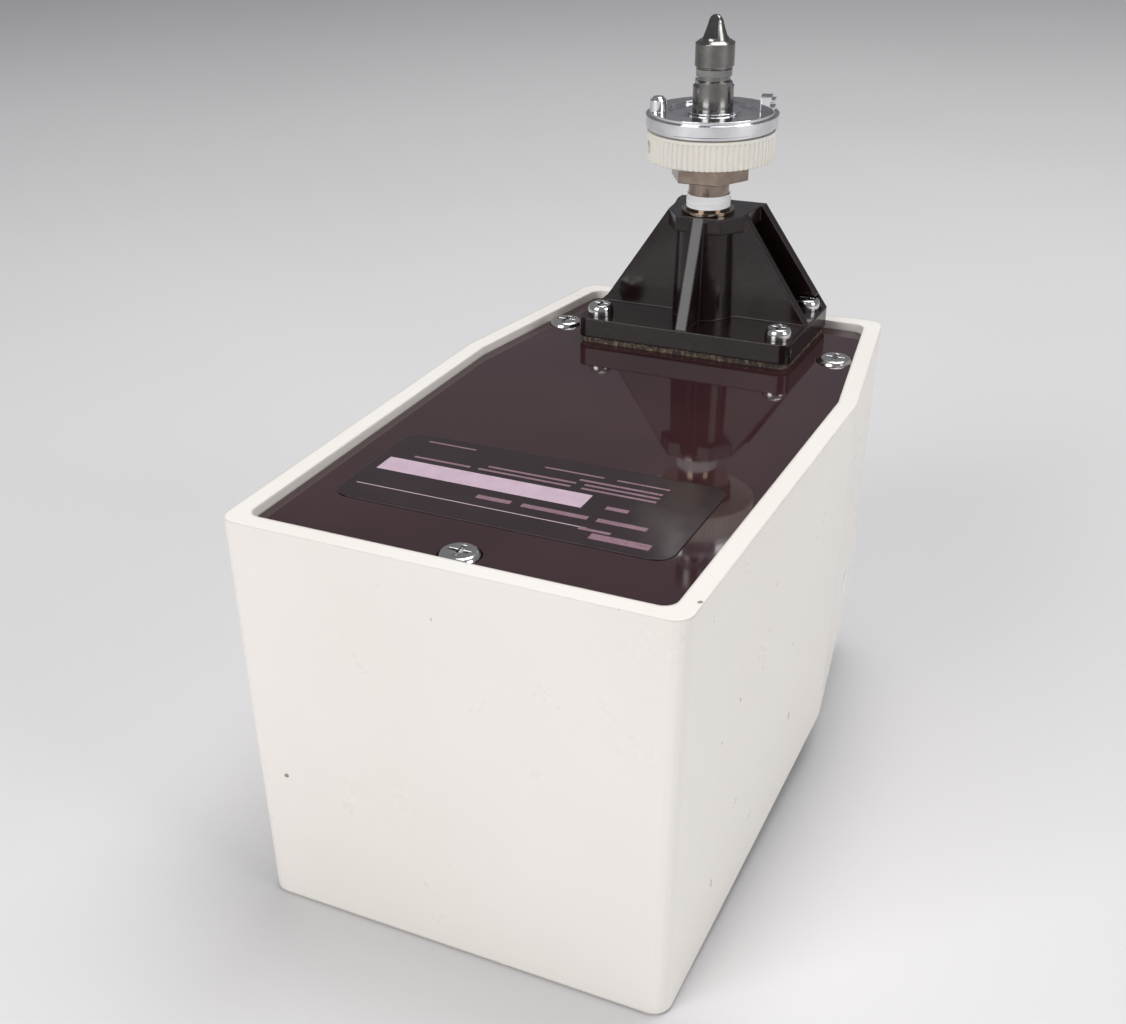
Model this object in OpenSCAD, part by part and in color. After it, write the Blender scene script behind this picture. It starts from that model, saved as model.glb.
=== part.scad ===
// Intermittent suction unit with a rear wall-outlet probe.
// The unit lies on its control face: +Z is the rear, +X is across, +Y runs from the wide
// end to the narrow end. Z = 0 is the surface that the hood and the two knobs stand on.

/* [Case] */
// Width of the wide part of the case
case_w = 102; // [90:1:125]
// Width of the narrow end
narrow_w = 84; // [76:1:88]
// Length of the case
case_l = 169; // [165:1:200]
// Length of the part with parallel sides
straight_l = 111; // [100:1:115]
// Depth of the case at the wide end
case_d = 97; // [90:1:120]
// Depth of the hood in front of the control panel at the wide end
hood_d = 19.5; // [17:0.5:24]
// Thickness of the case walls
wall = 4.2; // [3.8:0.1:4.3]
// Width of the rim around the back plate
rim_w = 4.4; // [4.4:0.1:5]
// How much narrower each side of the case is at the front
draft = 2; // [0:0.1:2.2]
// Radius of the case's upright corners
corner_r = 4; // [2:0.5:6]
// Thickness of the back plate
plate_t = 3; // [2:0.5:4]
// Depth of the back plate's face below the rim
plate_sink = 2; // [1:0.5:3]

/* [Wall bracket] */
// Distance of the probe's axis from the narrow end
probe_in = 22; // [22:0.5:25]
// Width of the bracket's foot
foot_w = 57; // [54:1:62]
// Length of the bracket's foot
foot_l = 34.6; // [33:0.2:34.6]
// Thickness of the bracket's foot
foot_t = 5; // [4:0.5:6]
// Height of the bracket above its gasket
bracket_h = 31.5; // [26:0.5:40]
// Thickness of the bracket's ribs
rib_t = 3; // [2.5:0.1:4]
// Thickness of the gasket under the bracket
gasket_t = 1.5; // [1:0.1:2.5]

/* [Probe] */
// Diameter of the probe's stem
probe_d = 10; // [9:0.1:11]
// Length of the probe's stem above the index plate
stem_l = 7; // [5:0.5:10]
// Diameter of the index plate
index_d = 32.6; // [30:0.2:36]
// Diameter of the white grip ring
ring_d = 31.8; // [29:0.2:35]
// Diameter of the pipe neck
neck_d = 10.2; // [9.5:0.1:11]
// Size across the flats of the adapter's hexagon
hex_af = 17.5; // [16:0.1:20]

/* [Controls] */
// Diameter of the suction control knob
knob_d = 34; // [30:1:36]
// Diameter of the mode knob
mode_d = 30; // [26:1:32]
// Distance of the knobs' axes from the wide end
knob_y = 122; // [118:0.5:124]
// Distance of each knob's axis from the middle of the case
knob_x = 24; // [22:0.5:26]
// Diameter of the gauge's bezel
bezel_d = 60; // [54:1:64]
// Distance of the gauge's axis from the wide end
gauge_y = 46; // [44:1:50]
// Travel of the spring cup for one turn of the knob
thread_pitch = 1; // [0.8:0.05:1.1]

/* [Patient port] */
// Diameter of the hose nipple
nipple_d = 9.5; // [8:0.1:11]
// Length of the hose nipple outside its collar
nipple_l = 15; // [12:0.5:20]

/* [Hidden] */
$fn = 64;
fit = 0.3;                                   // gap between a part and the opening it sits in
run = 0.05;                                  // radial gap of a shaft that turns in its bore
soft = 0.3;                                  // gap that keeps soft parts off their neighbours
panel_t = 0.8;                               // control panel overlay
front_t = 3;                                 // case wall behind the overlay
slope = (hood_d - 2) / case_l;                     // fall of the case's front edge per mm of length
panel_z = hood_d;                            // front face of the case's front wall
inner_z = panel_z + front_t;                 // inside face of the front wall
probe_y = case_l - probe_in;
plate_top = case_d - plate_sink;
plate_z = plate_top - plate_t;
foot_z = plate_top + gasket_t;
top_z = foot_z + bracket_h;
collar_t = 6;                                // collar and hexagon of the patient port
overall_l = case_l + collar_t + nipple_l;
screw_boss_r = 4.5;
boss_end_y = 10;                             // rear screw at the wide end
boss_side_x = 37;                            // rear screws beside the bracket
boss_side_y = probe_y - 5.5;
foot_screw_x = foot_w / 2 - 4.5;
foot_screw_y = foot_l / 2 - 5.1;
foot_screw_d = 3.4;
stem_bore_d = 4;                             // vacuum passage through the supply stem and probe
stem_body_d = 12;                            // supply stem where it passes the bracket
barb_d = 5;                                  // hose tails inside the case
hose_bore = barb_d + 0.2;
hose_d = 7.4;
ball_extra = 0.6;                            // ball at a hose's bend beyond the hose's radius
hose_in = 5;                                 // length of tail inside a hose
line_z = 54;                                 // height of the valve ports
// Probe stack, from the bracket upwards
flange_t = 0.9;
neck_z = top_z + flange_t;
tape_l = 3.2;
hex_z = neck_z + 7.7;
hex_h = 5;
ring_h = 7;
ring_z = hex_z + hex_h;
index_t = 4.4;
index_z = ring_z + ring_h + 0.3;
stem_z = index_z + index_t;
groove_h = 3;
head_h = 6.4;
nose_h = 6;
pin_h = 3.6;
pin_r = 2;
pin_pcd = 27;
// Controls
knob_h = 15.2;
nut_h = 3;
bush_d = 12;
spindle_d = 6;
thread_d = 5;
reg_r = 18;
bonnet_h = 21.5;
diaphragm_t = 1.5;
reg_z = inner_z + bonnet_h;
reg_top = reg_z + diaphragm_t + 16.5;
cup_z = inner_z + 7.5;
cup_t = 3;
spring_r = 6.5;
spring_wire = 1.4;
turns_max = 3;
sel_r = 15;
sel_top = line_z + 7;
rotor_r = 8;
// Gauge
can_r = bezel_d / 2 - 3;
can_wall = 1.2;
bezel_h = 8.7;
bezel_z = panel_z - panel_t - bezel_h;
lens_t = 2;
dial_z = panel_z - panel_t - 1.2;
can_h = 27;
pointer_z = bezel_z + lens_t + 3;
// Chassis
chassis_z = line_z;
chassis_t = 2;
post_x = 41;
post_y = [19, 83];
post_r = 3.5;
module_w = 50;
module_y = [26, 70];
module_h = 18;
tank_r = 7.5;
tank_x = -35;
tank_y = [24, 78];
mod_z = chassis_z + chassis_t;
tap_z = mod_z + 8;

cream = [0.93, 0.90, 0.86];
maroon = [0.17, 0.09, 0.10];
black = [0.09, 0.08, 0.08];
chrome = [0.80, 0.80, 0.82];
steel = [0.62, 0.62, 0.63];
brass = [0.78, 0.66, 0.38];
white = [0.93, 0.92, 0.88];
rubber = [0.12, 0.12, 0.12];

// --- Helpers -----------------------------------------------------------------

// Everything is drawn with the wide end at y = 0 and then centred on the object's length.
module place() translate([0, -overall_l / 2, 0]) children();

// Points of a closed outline with every corner rounded to radius r.
function round_corner(a, b, c, r, steps = 5) =
    let (u = (a - b) / norm(a - b), v = (c - b) / norm(c - b))
    let (half = acos(u * v) / 2, reach = r / tan(half))
    let (mid = (u + v) / norm(u + v), centre = b + mid * r / sin(half))
    let (p = b + u * reach - centre, q = b + v * reach - centre)
    let (start = atan2(p[1], p[0]), turn = atan2(q[1], q[0]) - start)
    let (sweep = turn > 180 ? turn - 360 : turn < -180 ? turn + 360 : turn)
    [for (i = [0:steps]) centre + r * [cos(start + sweep * i / steps), sin(start + sweep * i / steps)]];

function rounded(points, r) =
    let (n = len(points))
    [for (i = [0:n - 1]) each round_corner(points[(i + n - 1) % n], points[i], points[(i + 1) % n], r)];

// The case's plan, taken in by a distance on every side. The slanting sides need their own
// shift, because their ends lie on the square ends' new lines.
side_run = case_l - straight_l;
side_in = (case_w - narrow_w) / 2;
side_len = norm([side_run, side_in]);
function case_plan(in) =
    let (bend = straight_l - in * (side_len - side_run) / side_in)
    let (slant_x = narrow_w / 2 - in * side_len / side_run + in * side_in / side_run)
    [[-case_w / 2 + in, in], [case_w / 2 - in, in], [case_w / 2 - in, bend],
     [slant_x, case_l - in], [-slant_x, case_l - in], [-case_w / 2 + in, bend]];

module case_block(in, z0, z1, r = corner_r)
    translate([0, 0, z0]) linear_extrude(z1 - z0) polygon(rounded(case_plan(in), r));

// The outer block is a little smaller at the front than at the rear on every side.
module leaning_block(side, end) multmatrix([[1, 0, side * draft / case_d, -side * draft],
    [0, 1, end * draft / case_d, -end * draft], [0, 0, 1, 0], [0, 0, 0, 1]]) case_block(0, 0, case_d);

module drafted_block() intersection() {
    leaning_block(1, 1);
    leaning_block(1, -1);
    leaning_block(-1, 1);
    leaning_block(-1, -1);
}

module tube(r_out, r_in, z0, z1)
    translate([0, 0, z0]) difference() {
        cylinder(r = r_out, h = z1 - z0);
        translate([0, 0, -1]) cylinder(r = r_in, h = z1 - z0 + 2);
    }

module rod(r, z0, z1) translate([0, 0, z0]) cylinder(r = r, h = z1 - z0);

// A hexagon of a given size across its flats.
module hexagon(af, z0, z1) translate([0, 0, z0]) cylinder(d = af / cos(30), h = z1 - z0, $fn = 6);

// A round bar from a to b.
module bar(a, b, r) {
    v = b - a;
    translate(a) rotate([0, acos(v[2] / norm(v)), atan2(v[1], v[0])]) cylinder(r = r, h = norm(v));
}

// A line of bars with a ball a little fatter than the bar at every bend.
module bent_bar(points, r) {
    for (i = [0:len(points) - 2]) bar(points[i], points[i + 1], r);
    for (i = [1:len(points) - 2]) translate(points[i]) rotate([31, 17, 0]) sphere(r = r + ball_extra);
}

// A hose with a socket at each end for the tail that it is pushed on.
module hose(points) {
    last = len(points) - 1;
    difference() {
        bent_bar(points, hose_d / 2);
        hose_socket(points[0], points[1]);
        hose_socket(points[last], points[last - 1]);
    }
}

module hose_socket(end, next) {
    dir = (next - end) / norm(next - end);
    bar(end - dir, end + dir * (hose_in + 1), hose_bore / 2);
}

// A hose tail from a wall at a, along the unit direction dir, for a length that includes
// the stretch inside the hose and the shoulder that the hose stops on.
module tail(a, dir) bar(a - dir * 0.5, a + dir * (hose_in + 1.5), barb_d / 2);

// A pan-head screw pointing down, with its head's underside at z and a cross recess.
module pan_screw(d, head_d, head_h, length, z) {
    difference() {
        union() {
            translate([0, 0, z]) rotate_extrude() polygon([[0, 0], [head_d / 2, 0],
                for (a = [0:15:90]) [head_d / 2 * (0.72 + 0.28 * cos(a)), head_h * (0.35 + 0.65 * sin(a))],
                [0, head_h]]);
            rod(d / 2, z - length, z + 0.1);
        }
        for (a = [0, 90]) rotate(a)
            translate([-head_d * 0.28, -head_d * 0.055, z + head_h * 0.4])
                cube([head_d * 0.56, head_d * 0.11, head_h]);
    }
}

module at_plate_screws()
    for (p = [[0, boss_end_y], [boss_side_x, boss_side_y], [-boss_side_x, boss_side_y]])
        translate([p[0], p[1], 0]) children();

module at_foot_screws()
    for (x = [-1, 1]) for (y = [-1, 1])
        translate([x * foot_screw_x, probe_y + y * foot_screw_y, 0]) children();

module at_posts() for (x = [-1, 1]) for (y = post_y) translate([x * post_x, y, 0]) children();

module at_probe() translate([0, probe_y, 0]) children();
module at_control() translate([-knob_x, knob_y, 0]) children();
module at_mode() translate([knob_x, knob_y, 0]) children();
module at_gauge() translate([0, gauge_y, 0]) children();

// --- Case and covers ---------------------------------------------------------

module case_shell() color(cream) place() difference() {
    union() {
        difference() {
            drafted_block();
            // Inside, up to the rim, then the rim's own opening
            case_block(wall, inner_z, plate_z - 0.5, corner_r - 1);
            case_block(rim_w, plate_z - 1, case_d + 1, corner_r - 1);
            // Space in front of the control panel
            case_block(wall + 0.3, -1, panel_z, corner_r - 1);
            // Sloping front edge
            multmatrix([[1, 0, 0, 0], [0, 1, 0, -1], [0, slope, 1, -50 - slope], [0, 0, 0, 1]])
                translate([-case_w, 0, 0]) cube([case_w * 2, case_l * 2, 50]);
        }
        at_plate_screws() rod(screw_boss_r, inner_z - 1, plate_z);
        at_posts() rod(post_r, inner_z - 1, chassis_z);
        // Webs from the screw bosses to the nearest wall
        translate([-1.2, wall - 1, inner_z - 1]) cube([2.4, boss_end_y - wall, plate_z - inner_z]);
    }
    at_plate_screws() rod(1.4, plate_z - 14, plate_z + 1);
    at_posts() rod(1.2, chassis_z - 8, chassis_z + 1);
    at_gauge() rod(can_r + fit, panel_z - 1, inner_z + 1);
    at_control() rod(bush_d / 2 + fit, panel_z - 1, inner_z + 1);
    at_mode() rod(bush_d / 2 + fit, panel_z - 1, inner_z + 1);
    translate([0, case_l + 1, line_z]) rotate([90, 0, 0]) cylinder(r = port_thread_r + fit, h = wall + 2);
}

port_thread_r = 6;

module front_panel() color(black) place() difference() {
    case_block(wall + 0.3 + fit, panel_z - panel_t, panel_z, corner_r - 1);
    at_gauge() rod(can_r + fit, 0, panel_z + 1);
    at_control() rod(bush_d / 2 + fit, 0, panel_z + 1);
    at_mode() rod(bush_d / 2 + fit, 0, panel_z + 1);
}

plate_head_d = 8.8;
plate_head_h = 2.6;

module back_plate() color(maroon) place() difference() {
    case_block(rim_w + fit, plate_z, plate_top, corner_r - 1.2);
    at_plate_screws() rod(1.6, plate_z - 1, plate_top + 1);
    at_plate_screws() rod(plate_head_d / 2 + 0.2, plate_z + 1.4, plate_top + 1);
    at_foot_screws() rod(foot_screw_d / 2, plate_z - 1, plate_top + 1);
    at_probe() rod(stem_body_d / 2 + fit, plate_z - 1, plate_top + 1);
}

module back_plate_screws() color(chrome) place()
    at_plate_screws() pan_screw(2.6, plate_head_d, plate_head_h, 12, plate_z + 1.4);

label_t = 0.2;
label_w = 77;
label_y = [23.5, 59];

module rating_label() color(black) place() translate([0, 0, plate_top]) linear_extrude(label_t)
    polygon(rounded([[-label_w / 2, label_y[0]], [label_w / 2, label_y[0]],
        [label_w / 2, label_y[1]], [-label_w / 2, label_y[1]]], 4));

// --- Wall bracket ------------------------------------------------------------

top_half_x = 10;
top_front = 7;
top_back = 12;
top_t = 4;

module foot_outline(in) polygon(rounded([for (s = [[-1, -1], [1, -1], [1, 1], [-1, 1]])
    [s[0] * (foot_w / 2 - in), s[1] * (foot_l / 2 - in)]], 2.5));

module bracket_gasket() color(rubber) place() at_probe()
    translate([0, 0, plate_top]) linear_extrude(gasket_t) difference() {
        foot_outline(0.4);
        for (x = [-1, 1]) for (y = [-1, 1])
            translate([x * foot_screw_x, y * foot_screw_y]) circle(r = foot_screw_d / 2);
        circle(r = stem_body_d / 2 + fit);
    }

// A plate of thickness t standing across the X axis, with a sloping edge on each side.
module gusset(half_foot, half_top, t, y) translate([0, y + t / 2, foot_z + foot_t - 0.5])
    rotate([90, 0, 0]) linear_extrude(t) polygon([[-half_foot, 0], [half_foot, 0],
        [half_top, bracket_h - foot_t + 0.5], [-half_top, bracket_h - foot_t + 0.5]]);

module wall_bracket() color(black) place() at_probe() difference() {
    union() {
        translate([0, 0, foot_z]) linear_extrude(foot_t) foot_outline(0);
        // Ribs to both sides, the leaning back wall and the front rib
        gusset(foot_w / 2 - 0.5, top_half_x, rib_t, 0);
        multmatrix([[1, 0, 0, 0], [0, 1, back_lean, foot_l / 2 - rib_t - back_lean * foot_z], [0, 0, 1, 0],
            [0, 0, 0, 1]]) gusset(foot_w / 2 - 0.3, top_half_x + 1.5, rib_t, rib_t / 2);
        translate([-rib_t / 2, 0, 0]) rotate([90, 0, 90]) linear_extrude(rib_t)
            polygon([[foot_l / 2 - 1, foot_z + 1], [-foot_l / 2 + 0.3, foot_z + foot_t],
                [-top_front, top_z], [top_back - 1, top_z]]);
        // Column around the supply stem, and the cap that ties the ribs together
        translate([0, 0, foot_z + 1]) cylinder(r1 = 8.2, r2 = 7.4, h = bracket_h - 2);
        translate([0, 0, top_z - top_t]) linear_extrude(top_t) polygon([[-top_half_x, -1.5], [-top_front + 1, -top_front],
            [top_front - 1, -top_front], [top_half_x, -1.5], [top_half_x + 1, top_back - 0.7],
            [-top_half_x - 1, top_back - 0.7]]);
    }
    rod(stem_body_d / 2 + fit, foot_z - 1, top_z + 1);
    for (x = [-1, 1]) for (y = [-1, 1]) translate([x * foot_screw_x, y * foot_screw_y, 0])
        rod(foot_screw_d / 2, foot_z - 1, foot_z + foot_t + 1);
    // Room for the screw heads in the foot of the back wall
    at_corners() rod(foot_head_d / 2 + 0.3, foot_z + foot_t, foot_z + foot_t + 3.2);
}

module at_corners() for (x = [-1, 1]) for (y = [-1, 1])
    translate([x * foot_screw_x, y * foot_screw_y, 0]) children();

back_lean = -(foot_l / 2 - top_back) / bracket_h;

foot_head_d = 6.6;
nut_af = 5.5;
nut_t = 2.4;

module bracket_screws() color(chrome) place()
    at_foot_screws() pan_screw(foot_screw_d - 0.4, foot_head_d, 2.8, foot_z + foot_t - plate_z + 3.2, foot_z + foot_t);

module bracket_nuts() color(steel) place() at_foot_screws() difference() {
    hexagon(nut_af, plate_z - nut_t, plate_z);
    rod(foot_screw_d / 2 - 0.15, plate_z - nut_t - 1, plate_z + 1);
}

// --- Supply stem and wall probe ----------------------------------------------

stem_low = plate_z - 10;
socket_d = neck_d + 0.1;
neck_in = 12;

module supply_stem() color(brass) place() at_probe() difference() {
    union() {
        rod(stem_body_d / 2, plate_z - 3, top_z + 0.1);
        rod(stem_body_d / 2 + 0.7, top_z, neck_z);
        rod(stem_body_d / 2 + 2, plate_z - 3.5, plate_z - soft);
        rod(4.5, stem_low, plate_z - 3);
        rod(barb_d / 2, stem_low - hose_in - 1, stem_low + 0.1);
    }
    rod(socket_d / 2, neck_z - neck_in - 1, neck_z + 1);
    rod(1.6, stem_low - hose_in - 2, neck_z);
}

module adapter_body() color(chrome) place() at_probe() difference() {
    union() {
        rod(neck_d / 2, neck_z - neck_in, hex_z + 0.1);
        hexagon(hex_af, hex_z, ring_z);
        rod(hub_r, ring_z - 0.1, index_z);
        rod(probe_d / 2 - 1.2, index_z - 0.1, stem_z - 1);
    }
    rod(stem_bore_d / 2, neck_z - neck_in - 1, stem_z);
}

hub_r = 9;

module thread_tape() color("white") place() at_probe() difference() {
    union() {
        tube(neck_d / 2 + 0.45, neck_d / 2 + 0.02, neck_z + 0.6, neck_z + 2.6);
        tube(neck_d / 2 + 0.3, neck_d / 2 + 0.02, neck_z + 2.4, neck_z + 0.6 + tape_l);
    }
}

flutes = 72;

module grip_ring() color(white) place() at_probe() difference() {
    rod(ring_d / 2, ring_z + 0.05, ring_z + ring_h);
    rod(hub_r + fit / 2, ring_z - 1, ring_z + ring_h + 1);
    for (i = [0:flutes - 1]) if (abs(i * 360 / flutes - flat_angle) > 9)
        rotate(i * 360 / flutes) translate([ring_d / 2 + 0.15, 0, ring_z - 1])
            cylinder(r = 0.45, h = ring_h + 0.2, $fn = 16);
    rotate(flat_angle) translate([0, 0, ring_z + ring_h / 2]) rotate([0, 90, 0])
        cylinder(r = 1.55, h = ring_d);
}

flat_angle = 216;

module ring_set_screw() color(steel) place() at_probe() rotate(flat_angle)
    translate([hub_r + 0.2, 0, ring_z + ring_h / 2]) rotate([0, 90, 0]) difference() {
        cylinder(r = 1.5, h = 5);
        translate([0, 0, 3]) cylinder(r = 0.8, h = 3, $fn = 6);
    }

module index_plate() color(chrome) place() at_probe() difference() {
    union() {
        rod(index_d / 2 - 0.8, index_z, index_z + 0.85);
        rod(index_d / 2, index_z + 0.8, stem_z - 0.85);
        rod(index_d / 2 - 0.8, stem_z - 0.9, stem_z);
    }
    rod(probe_d / 2 - 1.2 + run, index_z - 1, stem_z + 1);
    // Shallow dish inside the raised edge
    tube(index_d / 2 - 5.4, probe_d / 2 + 2, stem_z - 0.8, stem_z + 1);
    at_pins() rod(pin_r - 0.6, stem_z - 3, stem_z + 1);
}

module at_pins() for (a = pin_angles) rotate(a) translate([pin_pcd / 2, 0, 0]) children();
pin_angles = [211, 12];

module index_pins() color(chrome) place() at_probe() {
    rotate(pin_angles[0]) translate([pin_pcd / 2, 0, 0]) {
        rod(pin_r - 0.65, stem_z - 2.8, stem_z + 0.5);
        rod(pin_r, stem_z, stem_z + pin_h - 0.8);
        translate([0, 0, stem_z + pin_h - 0.81]) cylinder(r1 = pin_r, r2 = pin_r - 0.8, h = 0.8);
    }
    rotate(pin_angles[1]) translate([pin_pcd / 2, 0, 0]) {
        rod(pin_r - 0.65, stem_z - 2.8, stem_z + 0.5);
        difference() {
            translate([-pin_r + 0.3, -pin_r, stem_z]) cube([2 * pin_r - 0.6, 2 * pin_r, pin_h]);
            translate([0.6, -5, stem_z + 1.2]) cube([5, 10, 1.1]);
            translate([0.9, -5, stem_z + pin_h - 0.7]) cube([5, 10, 1]);
        }
    }
}

head_d = probe_d - 0.4;
seat_r = probe_d / 2 - 1.2;

module probe_stem() color(steel) place() at_probe() difference() {
    union() {
        rod(probe_d / 2, stem_z, stem_z + stem_l);
        rod(probe_d / 2 - 1, stem_z + stem_l - 0.1, stem_z + stem_l + groove_h);
    }
    rod(stem_bore_d / 2, stem_z - 1, stem_z + stem_l + groove_h + 1);
    // Wrench flats beside the groove
    for (s = [-1, 1]) rotate(30) translate([s * (probe_d / 2 + 0.1) - 1, -6, stem_z + stem_l - 1.2])
        cube([2, 12, 3]);
}

module probe_head() color(steel) place() at_probe() {
    base = stem_z + stem_l + groove_h;
    difference() {
        union() {
            rod(head_d / 2 - 0.4, base, base + 0.45);
            rod(head_d / 2, base + 0.4, base + head_h - 0.6);
            translate([0, 0, base + head_h - 0.61]) cylinder(r1 = head_d / 2, r2 = head_d / 2 - 0.9, h = 0.61);
            translate([0, 0, base + head_h - 0.1]) cylinder(r1 = 3.4, r2 = 1.7, h = nose_h - 1.1);
            translate([0, 0, base + head_h + nose_h - 2.2]) sphere(r = 2.05);
        }
        // Two flats on the nose open the outlet's valve
        for (a = [60, 240]) rotate(a) translate([1.55, -6, base + head_h + 0.4]) rotate([0, -12, 0])
            cube([6, 12, nose_h + 3]);
        rod(stem_bore_d / 2, base - 1, base + head_h - 2);
        rotate([0, 90, 60]) translate([-base - head_h + 3.4, 0, 0]) cylinder(r = 1.1, h = probe_d + 2);
    }
}

module probe_seal() color(white) place() at_probe()
    tube(probe_d / 2 - 0.6, probe_d / 2 - 1 + 0.05, stem_z + stem_l + groove_h - 1.9, stem_z + stem_l + groove_h - 0.2);

// --- Vacuum gauge ------------------------------------------------------------

module gauge_case() color(steel) place() at_gauge() difference() {
    rod(can_r, panel_z - panel_t, panel_z - panel_t + can_h);
    rod(can_r - can_wall, 0, panel_z - panel_t + can_h - can_wall);
    rod(4.1, 0, 100);
}

module gauge_clamp() color(steel) place() at_gauge() difference() {
    tube(can_r + 4, can_r + 0.1, inner_z, inner_z + 3);
    for (a = [45, 225]) rotate(a) translate([can_r + 2, 0, 0]) rod(1, inner_z - 1, inner_z + 4);
}

module gauge_bezel() color(black) place() at_gauge() difference() {
    rod(bezel_d / 2, bezel_z + 1, bezel_z + bezel_h);
    rod(can_r - can_wall, bezel_z + 1.2, bezel_z + bezel_h + 1);
    rod(can_r - can_wall - 1.8, bezel_z - 1, bezel_z + 5);
    translate([0, 0, bezel_z]) tube(bezel_d, bezel_d / 2 - 1, 0, 2.5);
}

module gauge_lens() color([0.9, 0.95, 1, 0.35]) place() at_gauge()
    rod(can_r - can_wall - 0.1, bezel_z + 1.2, bezel_z + 1.2 + lens_t);

module gauge_dial() color("white") place() at_gauge()
    tube(can_r - can_wall - 0.1, 1.6, dial_z, dial_z + 1.2);

module gauge_capsule() color(brass) place() at_gauge() {
    low = dial_z + 13;
    difference() {
        union() {
            for (i = [0:3]) rod(i % 2 == 0 ? 17 : 15.8, low + i * 2, low + i * 2 + 2.01);
            rod(4, low + 7.9, panel_z - panel_t + can_h + 7);
            translate([0, 0, 0]) tail([0, 4, gauge_tap_z], [0, 1, 0]);
        }
        rod(1.5, low + 3, panel_z - panel_t + can_h + 4);
    }
}

gauge_tap_z = panel_z - panel_t + can_h + hose_d / 2 + 0.4;

module gauge_movement() color(brass) place() at_gauge() {
    low = dial_z + 4;
    difference() {
        rod(11, low, low + 1.5);
        rod(1.2 + run, low - 1, low + 3);
    }
    for (a = [90, 210, 330]) rotate(a) translate([8.5, 0, 0]) rod(1.4, low + 1.4, dial_z + 13);
}

module gauge_pointer() color(black) place() at_gauge() {
    rod(1.2, pointer_z, dial_z + 9);
    rod(3, pointer_z - 0.6, pointer_z + 1);
    rotate(pointer_zero) translate([0, 0, pointer_z]) linear_extrude(0.8)
        polygon([[-1.3, -7], [1.3, -7], [0.9, 0], [0.25, 20], [-0.25, 20], [-0.9, 0]]);
}

// The pointer's angle with no vacuum, at the lower left of the dial as the user reads it.
pointer_zero = 45;

// --- Vacuum regulator --------------------------------------------------------

module bushing(bore_r) difference() {
    rod(bush_d / 2, panel_z - panel_t - nut_h, inner_z + 0.1);
    rod(bore_r, 0, inner_z + 5);
}

module regulator_bonnet() color(steel) place() at_control() {
    bushing(spindle_d / 2 + run);
    difference() {
        rod(reg_r, inner_z, reg_z);
        rod(reg_r - 3.5, inner_z + 3, reg_z + 1);
        rod(spindle_d / 2 + run, inner_z - 1, inner_z + 5);
    }
}

module regulator_diaphragm() color(rubber) place() at_control() {
    rod(reg_r, reg_z, reg_z + diaphragm_t);
    rod(spring_r + 2.5, reg_z - 1.5, reg_z + 0.1);
}

module regulator_body() color(steel) place() at_control() difference() {
    union() {
        rod(reg_r, reg_z + diaphragm_t, reg_top);
        tail([0, reg_r, line_z], [0, 1, 0]);
        tail([0, -reg_r, line_z], [0, -1, 0]);
        tail([reg_r, 0, line_z], [1, 0, 0]);
    }
    tube(reg_r - 4, 5.5, reg_z, reg_z + diaphragm_t + 5);
    rod(2.2, reg_z, reg_top - 4);
}

spring_turns = 4;
spring_low = cup_z + cup_t;
spring_top = reg_z - 1.5;

// A round wire coiled from the cup to the diaphragm's plate, with its centre line a wire's
// radius inside both.
module range_spring() color(steel) place() at_control() {
    steps = 18 * spring_turns;
    sides = 6;
    rise = spring_top - spring_low - spring_wire - 0.1;
    points = [for (i = [0:steps]) let (a = i * 360 * spring_turns / steps)
        for (j = [0:sides - 1]) let (b = 360 * j / sides, out = spring_r + spring_wire / 2 * cos(b))
            [out * cos(a), out * sin(a),
             spring_low + 0.05 + spring_wire / 2 + rise * i / steps + spring_wire / 2 * sin(b)]];
    walls = [for (i = [0:steps - 1]) for (j = [0:sides - 1]) let (k = (j + 1) % sides)
        [i * sides + j, i * sides + k, (i + 1) * sides + k, (i + 1) * sides + j]];
    ends = [[for (j = [0:sides - 1]) sides - 1 - j], [for (j = [0:sides - 1]) steps * sides + j]];
    polyhedron(points, concat([for (w = walls) each [[w[0], w[2], w[1]], [w[0], w[3], w[2]]]], ends));
}

module spring_cup() color(brass) place() at_control() difference() {
    union() {
        rod(spring_r + 2.2, cup_z, cup_z + cup_t);
        rod(spring_r - spring_wire / 2 - 0.8, cup_z, cup_z + cup_t + 1.5);
    }
    rod(thread_d / 2 + run, cup_z - 1, cup_z + cup_t + 3);
}

module control_spindle() color(steel) place() at_control() {
    rod(spindle_d / 2, 3, inner_z + 4);
    rod(spindle_d / 2 + 1.5, inner_z + 3 + run, inner_z + 4.5);
    rod(thread_d / 2, inner_z + 4, cup_z + cup_t + 5);
}

knob_flutes = 16;

module control_knob() color(black) place() at_control() difference() {
    union() {
        rod(knob_d / 2 - 1.2, 0, 1.3);
        rod(knob_d / 2, 1.2, knob_h - 3);
        rod(knob_d / 2 - 2.5, knob_h - 3.1, knob_h);
    }
    for (i = [0:knob_flutes - 1]) rotate(i * 360 / knob_flutes)
        translate([knob_d / 2 + 1.3, 0, -1]) cylinder(r = 2.3, h = knob_h - 2);
    rod(spindle_d / 2 + 0.05, 3, knob_h + 1);
}

module panel_nuts() color(chrome) place() for (s = [-1, 1]) translate([s * knob_x, knob_y, 0])
    difference() {
        hexagon(16, panel_z - panel_t - nut_h, panel_z - panel_t);
        rod(bush_d / 2 + 0.05, 0, panel_z);
    }

// --- Mode selector valve -----------------------------------------------------

module selector_body() color(steel) place() at_mode() {
    bushing(spindle_d / 2 + run);
    difference() {
        union() {
            rod(sel_r, inner_z, sel_top);
            tail([0, sel_r, line_z], [0, 1, 0]);
            tail([0, -sel_r, line_z], [0, -1, 0]);
            tail([-sel_r, 0, line_z], [-1, 0, 0]);
        }
        rod(rotor_r + run, inner_z + 3, sel_top + 1);
        rod(spindle_d / 2 + run, inner_z - 1, inner_z + 5);
    }
}

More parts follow.
